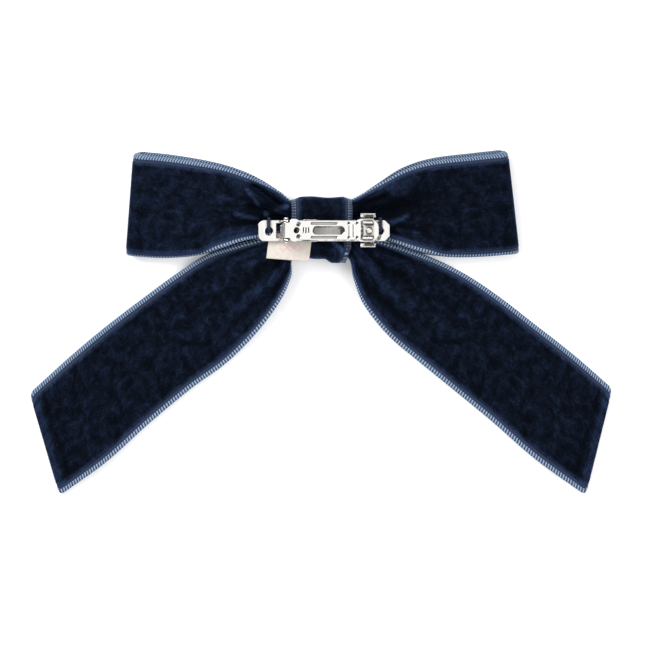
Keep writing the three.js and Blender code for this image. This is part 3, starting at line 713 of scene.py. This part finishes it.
def make_tail(side, ply):
    """One ply of a tail. The back ply shows its pile upwards and the front ply downwards."""
    shape = TAILS[side]
    upwards = ply == "back"
    middle, painted_light = tail_middle(shape, PLY_HEIGHTS[ply], upwards)
    inwards = (shape["sign"] > 0) != upwards
    piece = ribbon_piece(f"{side}_tail_{ply}_ribbon", middle, ACROSS, inwards, painted_light)
    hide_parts(f"{side}_tail_{ply}_ply")


# ---- knot band -----------------------------------------------------------------------------------
BAND_RIBBON = 23.4  # 25 mm ribbon, drawn in a little by the pull
BAND_LENGTH = 76
BAND_PLY = 1.0
BAND_CORNER = 3.5  # radius where it turns over an edge of the knot
LAP_RISE = 1.3  # the outer end lies this far above the inner one
LAP_INNER_END = -4.0
LAP_OUTER_END = 2.5
# shifts the tone of the whole band: lighter above 0, darker below
KNOT_TONE_SHIFT = -0.05
BAND_NARROWS = 0.2  # share of its width that it loses under the clip
BAND_SLACK = 0.22  # height of its gentle wander
CREASE, HOLLOW = 0.55, 0.35  # height of its one crease, and depth of the hollow beside it


def band_path(rows):
    """Middle line of the band in y and z, from its inner end over the top, down the front, under
    the bottom and back to its outer end: five straight runs joined by four quarter circles."""
    top, bottom = KNOT_HIGH[1] - BAND_PLY / 2, KNOT_LOW[1] + BAND_PLY / 2
    lap, front = KNOT_HIGH[2] - BAND_PLY / 2, KNOT_LOW[2] + BAND_PLY / 2
    r = BAND_CORNER
    turns = [
        (top - r, lap - LAP_RISE - r, 90, 0),
        (top - r, front + r, 0, -90),
        (bottom + r, front + r, -90, -180),
        (bottom + r, lap - r, 180, 90),
    ]
    parts = [np.array([[LAP_INNER_END, lap - LAP_RISE]])]
    for y, z, start, stop in turns:
        angle = np.radians(np.linspace(start, stop, 24))
        parts.append(np.stack([y + r * np.cos(angle), z + r * np.sin(angle)], -1))
    parts.append(np.array([[LAP_OUTER_END, lap]]))
    line = np.concatenate(parts)
    run = distances(line)
    at = np.linspace(0, run[-1], rows)
    return at, np.interp(at, run, line[:, 0]), np.interp(at, run, line[:, 1])


def make_band():
    """The knot band: its path carried across the ribbon's width. Below the clip it narrows by a fifth and
    its lower edge lifts in a wave; at the top its edge is pulled in, most at the sides. One crease, a bell
    with a shallow hollow beside it, runs from the clip to the lower edge. Painted highlight lies on the
    crease, over the turns at the top and bottom and where the band bulges, painted shade in the hollow,
    and the selvages are drawn darker."""
    rows = row_count(BAND_LENGTH)
    at, y, z = (column[:, None] for column in band_path(rows))
    across = ribbon_columns(BAND_RIBBON)
    middle = KNOT_HIGH[2] / 2
    behind = smooth(z, middle - 1, middle + 2)
    drawn_in = 1 - BAND_NARROWS * smooth(y, -7, -12.3)
    x = (across / BAND_RIBBON * 2 - 1)[None, :] * KNOT_EDGE * drawn_in
    x = x + 0.3 * behind * np.sin(y / 4.0)
    lift = smooth(y, -7, -11.5) * (mix(0.6, -0.9, smooth(x, 1.2, 4.2)) + 0.4 * smooth(x, -2, -6))
    fold = (x + y * 1.07 + 0.9) / 1.46  # distance from the crease that runs down and to the left
    ridge = CREASE * np.exp(-((fold / 0.75) ** 2)) - HOLLOW * np.exp(-(((fold - 1.7) / 1.0) ** 2))
    ridge = ridge * smooth(y, -3.6, -5.2) * behind * smooth(x, -4, -1)
    slack = BAND_SLACK * wander(x, at, 12, 9) * smooth(z, 1.0, 3.0)
    outward_y = np.where(np.abs(z - middle) < middle - 1, np.sign(y), 0)
    pulled = smooth(y, 7, 12) * (0.5 + 1.0 * smooth(np.abs(x), 7.5, 11.5) ** 2)
    outward_z = (1 - np.abs(outward_y)) * np.sign(z - middle)
    points = np.stack([x, y + lift - pulled + slack * outward_y, z + ridge + slack * outward_z], -1)
    darkened = np.minimum(across, BAND_RIBBON - across)[None, :] < SELVAGE
    # painted highlight on the crease, the top and bottom turns and the bulges, painted shade in the
    # hollow, and darker selvages
    painted_light = KNOT_TONE_SHIFT + 0.9 * ridge + 0.2 * smooth(np.abs(y), 9.5, 12.5) + 0.25 * slack - 0.75 * darkened
    piece = ribbon_piece("knot_ribbon", points, across, True, painted_light)
    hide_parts("knot_band")


make_band()
for side in ("left", "right"):
    make_loop(side)
    make_tail(side, "front")
    make_tail(side, "back")


# ---- threads -------------------------------------------------------------------------------------
def thread_material():
    """Spun polyester sewing thread, navy: its plies catch the light one after another."""
    material, shader = new_material(
        "spun_polyester_thread", Roughness=0.7, Sheen_Weight=0.2, Sheen_Tint=linear("#8fa6d6")
    )
    place = node(material, "ShaderNodeTexCoord").outputs["Object"]
    fibres = node(material, "ShaderNodeTexNoise", {"Vector": place}, Scale=9000.0, Detail=1.0)
    tone = ramp(material, fibres.outputs["Fac"], (0.35, linear("#0b1020")), (0.7, linear("#232f50")))
    connect(material, tone, shader, "Base Color")
    return material


THREAD = thread_material()
THREAD_STEPS = 700


def thread_strands(name, paths, radius, node_name):
    """Three-ply thread along each path: a tube whose section is a circle with three lobes that
    turn once in every eight radii. Each end is drawn in to a point."""
    sides, plies = 12, 3
    theta = np.linspace(0, 2 * math.pi, sides, endpoint=False)[None, :]
    all_points, all_quads, all_uv = [], [], []
    for path in paths:
        line = curve(np.array(path, float), np.linspace(0, 1, THREAD_STEPS))
        run = distances(line)
        distance = np.linspace(0, run[-1], max(24, int(run[-1] / (radius * 0.8))))
        line = np.stack([np.interp(distance, run, line[:, k]) for k in range(3)], -1)
        tangent = np.gradient(line, axis=0)
        tangent /= np.linalg.norm(tangent, axis=1, keepdims=True)
        side = np.array([1.0, 0, 0]) - tangent * tangent[:, :1]
        side /= np.linalg.norm(side, axis=1, keepdims=True)
        other = np.cross(tangent, side)
        near_end = np.clip(np.minimum(distance, run[-1] - distance) / radius, 0, 1)
        closing = np.sqrt(1 - (1 - near_end) ** 2)[:, None]
        turn = theta - (distance / (8 * radius) * 2 * math.pi)[:, None]
        r = radius * closing * (0.86 + 0.14 * np.cos(plies * turn))
        ring = side[:, None] * np.cos(theta)[..., None] + other[:, None] * np.sin(theta)[..., None]
        points = line[:, None] + ring * r[..., None]
        start = sum(len(p) for p in all_points)
        index = start + np.arange(points.shape[0] * sides).reshape(-1, sides)
        onward = np.roll(index, -1, axis=1)
        quads = np.stack([index[:-1], onward[:-1], onward[1:], index[1:]], -1).reshape(-1, 4)
        all_points.append(points.reshape(-1, 3))
        all_quads.append(quads)
        all_uv.append(np.stack(np.broadcast_arrays(distance[:, None], theta), -1).reshape(-1, 2))
    quads = np.concatenate(all_quads)
    piece = finish_mesh(
        name, np.concatenate(all_points), quads, np.concatenate(all_uv), np.zeros(len(quads)), [THREAD]
    )
    merge_points(piece.data)
    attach(piece, "bow")
    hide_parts(node_name)
    return piece


def merge_points(mesh):
    """Merges points that share a place."""
    work = bmesh.new()
    work.from_mesh(mesh)
    bmesh.ops.remove_doubles(work, verts=work.verts, dist=1e-7)
    work.to_mesh(mesh)
    work.free()


def box_mm(name):
    """The low and high corners of a node's box in mm."""
    return [np.array(corner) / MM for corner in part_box(name)]


def make_hole_stitch(name):
    """Three strands side by side, up through a hole in the plate, over its edge and down."""
    low, high = box_mm(name)
    radius, strand = 0.5, 0.2
    top, start, far = high[2] - radius - 0.06, low[1] + radius, high[1] - radius
    paths = []
    for shift, slack in ((-0.36, 0.0), (0.0, 0.12), (0.36, 0.04)):
        x = (low[0] + high[0]) / 2 + shift
        paths.append([
            (x, start, top - 5.5), (x, start + 0.1, top - 1.4), (x, start + 0.7, top - 0.1 + slack),
            (x, (start + far) / 2, top + 0.05 + slack), (x, far - 0.7, top - 0.1 + slack),
            (x, far - 0.15 + slack, top - 1.4), (x, far, top - 5.5),
        ])
    thread_strands(f"{name}_thread", paths, strand, name)


def make_knot_stitch(name):
    """A whip stitch over the band's outer end, of two strands."""
    low, high = box_mm(name)
    paths = []
    for shift in (-0.11, 0.11):
        x = high[0] - 0.4 + shift
        rise, down = high[2] - 0.25, high[1] - 0.34
        paths.append([
            (x - 0.5, low[1] + 0.1, rise), (x - 0.3, low[1] + 1.3, rise), (x, down, rise - 0.1),
            (x + 0.1, down + 0.05, rise - 0.9), (x + 0.15, down + 0.1, low[2] + 0.05),
        ])
    thread_strands(f"{name}_thread", paths, 0.13, name)


def make_gather_thread():
    """Seven turns of thread round the ribbons inside the knot: a flattened ring, a fourth-power
    oval in y and z, that moves along x as it goes round."""
    low, high = box_mm("gather_thread")
    strand, turns = 0.17, 7
    angle = np.linspace(0, 2 * math.pi * turns, 60 * turns)
    half = (high - low) / 2 - strand
    centre = (high + low) / 2

    def flattened(value):
        """The square root of the size, with the sign kept."""
        return np.sign(value) * np.sqrt(np.abs(value))

    path = np.stack([
        centre[0] + half[0] * np.linspace(-1, 1, len(angle)),
        centre[1] + half[1] * flattened(np.cos(angle)),
        centre[2] + half[2] * flattened(np.sin(angle)),
    ], -1)
    thread_strands("gathering_thread", [path], strand, "gather_thread")


make_gather_thread()
for number in (1, 2, 3, 4):
    make_knot_stitch(f"knot_stitch_{number}")
for side in ("left", "right"):
    make_hole_stitch(f"{side}_hole_stitch")


# ---- label ---------------------------------------------------------------------------------------
LABEL_THICKNESS = 0.22
LABEL_TOP_WIDTH = 16.6
LABEL_RISE = 1.3  # the lower left corner is this much higher than the lower right one
LABEL_SHEAR = 0.12  # it hangs a little to the left
DIAMOND = 1.4  # half a diamond's width; there are three in a row
DIAMOND_LINE = 0.2
MOTIF_INSET = 8.5  # the middle of the row, in from the label's right edge, and its y
MOTIF_Y = -7.6


def label_material():
    """Cream polyester satin with three small diamonds woven in a row in pale pink."""
    material, shader = new_material(
        "woven_satin_label", Roughness=0.45, Specular_IOR_Level=0.4, Sheen_Weight=0.15
    )
    place = node(material, "ShaderNodeTexCoord").outputs["UV"]
    # the UV is in millimetres from the middle of the motif
    axes = node(material, "ShaderNodeSeparateXYZ", {"Vector": place})
    zigzag = maths(material, "PINGPONG", {0: axes.outputs["X"]}, _1=DIAMOND)
    height = maths(material, "ABSOLUTE", {0: axes.outputs["Y"]})
    ring = maths(material, "ADD", {0: zigzag, 1: height})
    line = maths(material, "COMPARE", {0: ring}, _1=DIAMOND, _2=DIAMOND_LINE)
    inside = maths(material, "COMPARE", {0: axes.outputs["X"]}, _1=0.0, _2=3 * DIAMOND)
    motif = maths(material, "MULTIPLY", {0: line, 1: inside})
    grain = node(material, "ShaderNodeTexNoise", {"Vector": place}, Scale=0.5, Detail=3.0)
    cream = ramp(material, grain.outputs["Fac"], (0.3, linear("#cbc2b7")), (0.7, linear("#d8cfc5")))
    tone = node(
        material, "ShaderNodeMix", {"Factor": motif, 6: cream},
        data_type="RGBA", _7=linear("#dba8b0"),
    )
    connect(material, tone.outputs[2], shader, "Base Color")
    # warp floats of satin are about 0.1 mm apart and are drawn at 0.3 mm so that they show
    floats = node(
        material, "ShaderNodeTexWave", {"Vector": place},
        wave_type="BANDS", bands_direction="Y", wave_profile="SIN", Scale=1.05, Distortion=0.3,
    )
    bump = node(
        material, "ShaderNodeBump", {"Height": floats.outputs["Fac"]}, Strength=0.25, Distance=0.03 * MM
    )
    connect(material, bump.outputs["Normal"], shader, "Normal")
    return material


def make_label():
    """A satin tab folded at its lower edge: two leaves, each two fifths of the length, and a half circle
    between them. The upper leaf flutters a little more towards the fold, and both slant to the left in
    proportion to how far down they are."""
    low, high = box_mm("label")
    bend = (high[2] - low[2] - LABEL_THICKNESS) / 2
    leaf_z = low[2] + LABEL_THICKNESS / 2
    u = np.linspace(0, 1, 121)[:, None]
    v = np.linspace(0, 1, 49)[None, :]
    fold_y = mix(low[1] + LABEL_RISE, low[1] + 0.05, v) + bend
    turn = np.clip((u - 0.4) / 0.2, 0, 1) * math.pi
    share = np.clip(np.where(u < 0.5, u / 0.4, (1 - u) / 0.4), 0, 1)
    y = mix(high[1], fold_y, share) - bend * np.sin(turn)
    z = leaf_z + bend * (1 - np.cos(turn))
    flutter = 0.10 * wander(v * 16, y, 5, 14) * share * (u >= 0.5)
    x = high[0] - LABEL_TOP_WIDTH * (1 - v) + LABEL_SHEAR * (y - high[1])
    middle = np.stack(np.broadcast_arrays(x, y, z + np.abs(flutter)), -1)
    uv = np.stack(np.broadcast_arrays(x - high[0] + MOTIF_INSET, y - MOTIF_Y), -1)
    thickness = np.full(middle.shape[:2], LABEL_THICKNESS / 2)
    sides = np.zeros((len(v[0]) - 1, 2), int)
    piece = shell("folded_label", middle, thickness, thickness, uv, sides, [label_material()])
    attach(piece, "bow")
    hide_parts("label")


make_label()


# ---- clip ----------------------------------------------------------------------------------------
def plating_material(name, colour, roughness, shade_colour, reach):
    """Bright nickel plate over pressed steel: nearly a mirror, slightly uneven from the barrel polish,
    with faint drawing lines along the strip. Painted shade makes it grey, and near black where most closed
    in, in grooves, corners and under other parts; reach is how near, in mm."""
    material, shader = new_material(name, Metallic=1.0, Roughness=roughness)
    place = node(material, "ShaderNodeTexCoord").outputs["Object"]
    # painted shade: ambient occlusion darkens the base colour in grooves, corners and under other parts
    painted_shade = node(material, "ShaderNodeAmbientOcclusion", Distance=reach * MM)
    tone = ramp(
        material, painted_shade.outputs["AO"],
        (0.35, linear("#17181b")), (0.72, linear(shade_colour)), (0.92, linear(colour)),
    )
    connect(material, tone, shader, "Base Color")
    uneven = node(material, "ShaderNodeTexNoise", {"Vector": place}, Scale=300.0, Detail=2.0)
    lines = node(material, "ShaderNodeMapping", {"Vector": place}, Scale=(120.0, 4000.0, 1500.0))
    drawn = node(
        material, "ShaderNodeTexNoise", {"Vector": lines.outputs["Vector"]}, Scale=1.0, Detail=2.0
    )
    polish = node(
        material, "ShaderNodeMapRange", {"Value": uneven.outputs["Fac"]},
        To_Min=roughness * 0.8, To_Max=roughness * 1.5,
    )
    connect(material, polish.outputs["Result"], shader, "Roughness")
    swell = node(
        material, "ShaderNodeBump", {"Height": uneven.outputs["Fac"]}, Strength=0.8, Distance=0.35 * MM
    )
    bump = node(
        material, "ShaderNodeBump", {"Height": drawn.outputs["Fac"], "Normal": swell.outputs["Normal"]},
        Strength=0.12, Distance=0.02 * MM,
    )
    connect(material, bump.outputs["Normal"], shader, "Normal")
    return material


POLISHED = plating_material("bright_nickel_plate", "#e4e2df", 0.1, "#8f8d8b", 1.6)
STRUCK = plating_material("barrelled_nickel_plate", "#dedbd6", 0.18, "#85837f", 2.0)
SPRING = plating_material("plated_spring_steel", "#e2dfda", 0.12, "#8d8a86", 7.0)

CLIP_PARTS = [
    ("base_plate", "bow", POLISHED),
    ("top_arm", "arm", POLISHED),
    ("hinge_pin", "bow", STRUCK),
    ("tension_bar", "tension_bar", SPRING),
    ("clasp_base", "bow", STRUCK),
    ("clasp_rivet", "bow", STRUCK),
    ("clasp_jaw_upper", "jaw_upper", POLISHED),
    ("clasp_jaw_lower", "jaw_lower", POLISHED),
]


def make_clip_part(name, body, material):
    """A pressed part as the frame has it, rebuilt on a 0.1 mm lattice and relaxed, which rounds
    its sheared and tumbled edges."""
    mesh = NODES[name].data.copy()
    mesh.name = f"{name}_pressed"
    merge_points(mesh)
    mesh.materials.clear()
    mesh.materials.append(material)
    piece = bpy.data.objects.new(f"{name}_pressed", mesh)
    bpy.context.scene.collection.objects.link(piece)
    lattice = piece.modifiers.new("lattice", "REMESH")
    lattice.mode = "VOXEL"
    lattice.voxel_size = 0.1 * MM
    lattice.use_smooth_shade = True
    relax = piece.modifiers.new("tumbled_edges", "SMOOTH")
    relax.factor = 0.5
    relax.iterations = 5
    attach(piece, body)
    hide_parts(name)


for part in CLIP_PARTS:
    make_clip_part(*part)


# ---- table, light and camera ---------------------------------------------------------------------
def make_table():
    """A flat matte white sweep with a little light coming up through it."""
    material, _ = new_material(
        "matte_white_sweep", Roughness=0.9, Specular_IOR_Level=0.1, Base_Color=linear("#f6f6f6"),
        Emission_Color=linear("#ffffff"), Emission_Strength=0.2,
    )
    mesh = bpy.data.meshes.new("table")
    reach = 3.0
    corners = [(x * reach, y * reach, 0) for x, y in ((-1, -1), (1, -1), (1, 1), (-1, 1))]
    mesh.from_pydata(corners, [], [(0, 1, 2, 3)])
    mesh.materials.append(material)
    table = bpy.data.objects.new("table", mesh)
    bpy.context.scene.collection.objects.link(table)


def make_light(name, place, size, power, colour):
    """A square softbox that faces the clip."""
    light = bpy.data.lights.new(name, "AREA")
    light.shape, light.size, light.energy, light.color = "SQUARE", size, power, colour[:3]
    lamp = bpy.data.objects.new(name, light)
    lamp.location = place
    lamp.rotation_euler = (-Vector(place)).to_track_quat("-Z", "Y").to_euler()
    bpy.context.scene.collection.objects.link(lamp)


def make_world():
    """A plain studio: a bright ceiling and dim walls, which draw dark lines on the metal's edges."""
    world = bpy.data.worlds.new("studio")
    world.use_nodes = True
    place = node(world, "ShaderNodeTexCoord").outputs["Generated"]
    upwards = node(world, "ShaderNodeSeparateXYZ", {"Vector": place}).outputs["Z"]
    walls, shoulder, ceiling = ((level, level, level, 1) for level in (0.05, 0.2, 1.0))
    tone = ramp(world, upwards, (0.0, walls), (0.6, shoulder), (0.98, ceiling))
    background = world.node_tree.nodes["Background"]
    connect(world, tone, background, "Color")
    background.inputs["Strength"].default_value = 1.25
    bpy.context.scene.world = world


def make_camera():
    """Straight above the bow, with a long lens."""
    low, high = (np.array(corner) / MM for corner in cad_bounds)
    data = bpy.data.cameras.new("camera")
    data.lens, data.sensor_width = 200, 36
    seen = 251.1  # mm across the view, 5 mm above the table
    above = 5
    aside, below = 1.0, 0.85  # where it aims, from the middle of the bow
    distance = seen / data.sensor_width * data.lens
    camera = bpy.data.objects.new("camera", data)
    camera.location = (aside * MM, ((low[1] + high[1]) / 2 - below) * MM, (distance + above) * MM)
    bpy.context.scene.collection.objects.link(camera)
    bpy.context.scene.camera = camera


make_table()
make_world()
make_light("window_left", (-0.75, 0.6, 0.9), 0.7, 14.0, linear("#ffffff"))
make_light("fill_right", (0.8, -0.2, 0.8), 0.8, 7.0, linear("#fbfbff"))
make_camera()
bpy.context.scene.view_settings.view_transform = "Standard"
